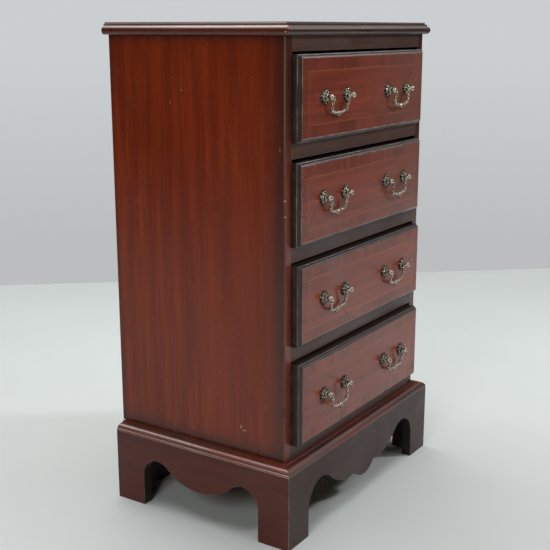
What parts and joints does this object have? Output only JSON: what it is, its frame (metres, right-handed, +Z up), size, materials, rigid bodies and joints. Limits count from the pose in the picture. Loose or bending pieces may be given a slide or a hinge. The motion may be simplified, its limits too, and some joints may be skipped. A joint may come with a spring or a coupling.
{
  "type": "chest of drawers",
  "caption": "Small mahogany chest of drawers with moulded fronts, a moulded top and base, bracket feet and brass swan-neck drop handles.",
  "frame": {"origin": "on the floor, under the centre of the whole chest's outline, handles included", "axes": "+X across the front to the viewer's right, +Y towards the back, +Z up; the drawers open towards -Y"},
  "size_m": [0.464, 0.3518, 0.76],
  "materials": {
    "mahogany": "satin",
    "mahogany_veneer": "gloss",
    "secondary_wood": "matte",
    "brass": "satin"
  },
  "bodies": {
    "carcass": {"top_board": "mahogany", "side_panel_left": "mahogany", "side_panel_right": "mahogany", "top_rail": "mahogany", "divider_rail_1": "mahogany", "divider_rail_2": "mahogany", "divider_rail_3": "mahogany", "bottom_rail": "mahogany", "base_moulding_front": "mahogany", "base_moulding_left": "mahogany", "base_moulding_right": "mahogany", "plinth_front": "mahogany", "plinth_left": "mahogany", "plinth_right": "mahogany", "back_panel": "secondary_wood", "bottom_board": "secondary_wood", "drawer_runners": "secondary_wood", "base_back_rail": "secondary_wood", "plinth_back": "secondary_wood", "glue_blocks": "secondary_wood"},
    "drawer_1": {"drawer_1_front": "mahogany_veneer", "drawer_1_side_left": "secondary_wood", "drawer_1_side_right": "secondary_wood", "drawer_1_back": "secondary_wood", "drawer_1_bottom": "secondary_wood", "rosettes_1": "brass", "handle_posts_1": "brass", "handle_nuts_1": "brass"},
    "bail_1_left": {"bail_1_left": "brass"},
    "bail_1_right": {"bail_1_right": "brass"},
    "drawer_2": {"drawer_2_front": "mahogany_veneer", "drawer_2_side_left": "secondary_wood", "drawer_2_side_right": "secondary_wood", "drawer_2_back": "secondary_wood", "drawer_2_bottom": "secondary_wood", "rosettes_2": "brass", "handle_posts_2": "brass", "handle_nuts_2": "brass"},
    "bail_2_left": {"bail_2_left": "brass"},
    "bail_2_right": {"bail_2_right": "brass"},
    "drawer_3": {"drawer_3_front": "mahogany_veneer", "drawer_3_side_left": "secondary_wood", "drawer_3_side_right": "secondary_wood", "drawer_3_back": "secondary_wood", "drawer_3_bottom": "secondary_wood", "rosettes_3": "brass", "handle_posts_3": "brass", "handle_nuts_3": "brass"},
    "bail_3_left": {"bail_3_left": "brass"},
    "bail_3_right": {"bail_3_right": "brass"},
    "drawer_4": {"drawer_4_front": "mahogany_veneer", "drawer_4_side_left": "secondary_wood", "drawer_4_side_right": "secondary_wood", "drawer_4_back": "secondary_wood", "drawer_4_bottom": "secondary_wood", "rosettes_4": "brass", "handle_posts_4": "brass", "handle_nuts_4": "brass"},
    "bail_4_left": {"bail_4_left": "brass"},
    "bail_4_right": {"bail_4_right": "brass"}
  },
  "joints": [
    {"name": "drawer_1_slide", "type": "slide", "parent": "carcass", "child": "drawer_1", "axis": [0, -1, 0], "range_m": [0, 0.21]},
    {"name": "bail_1_left_swing", "type": "hinge", "parent": "drawer_1", "child": "bail_1_left", "pos_m": [-0.097, -0.1671, 0.6573], "axis": [-1, 0, 0], "range_deg": [-1, 115]},
    {"name": "bail_1_right_swing", "type": "hinge", "parent": "drawer_1", "child": "bail_1_right", "pos_m": [0.097, -0.1671, 0.6573], "axis": [-1, 0, 0], "range_deg": [-9, 107]},
    {"name": "drawer_2_slide", "type": "slide", "parent": "carcass", "child": "drawer_2", "axis": [0, -1, 0], "range_m": [0, 0.21]},
    {"name": "bail_2_left_swing", "type": "hinge", "parent": "drawer_2", "child": "bail_2_left", "pos_m": [-0.097, -0.1671, 0.5143], "axis": [-1, 0, 0], "range_deg": [-2, 114]},
    {"name": "bail_2_right_swing", "type": "hinge", "parent": "drawer_2", "child": "bail_2_right", "pos_m": [0.097, -0.1671, 0.5143], "axis": [-1, 0, 0], "range_deg": [-11, 105]},
    {"name": "drawer_3_slide", "type": "slide", "parent": "carcass", "child": "drawer_3", "axis": [0, -1, 0], "range_m": [-0.0025, 0.2075]},
    {"name": "bail_3_left_swing", "type": "hinge", "parent": "drawer_3", "child": "bail_3_left", "pos_m": [-0.097, -0.1696, 0.3653], "axis": [-1, 0, 0], "range_deg": [-1, 115]},
    {"name": "bail_3_right_swing", "type": "hinge", "parent": "drawer_3", "child": "bail_3_right", "pos_m": [0.097, -0.1696, 0.3653], "axis": [-1, 0, 0], "range_deg": [-1, 115]},
    {"name": "drawer_4_slide", "type": "slide", "parent": "carcass", "child": "drawer_4", "axis": [0, -1, 0], "range_m": [-0.0045, 0.2055]},
    {"name": "bail_4_left_swing", "type": "hinge", "parent": "drawer_4", "child": "bail_4_left", "pos_m": [-0.097, -0.1716, 0.2153], "axis": [-1, 0, 0], "range_deg": [-16, 100]},
    {"name": "bail_4_right_swing", "type": "hinge", "parent": "drawer_4", "child": "bail_4_right", "pos_m": [0.097, -0.1716, 0.2153], "axis": [-1, 0, 0], "range_deg": [-1, 115]}
  ]
}
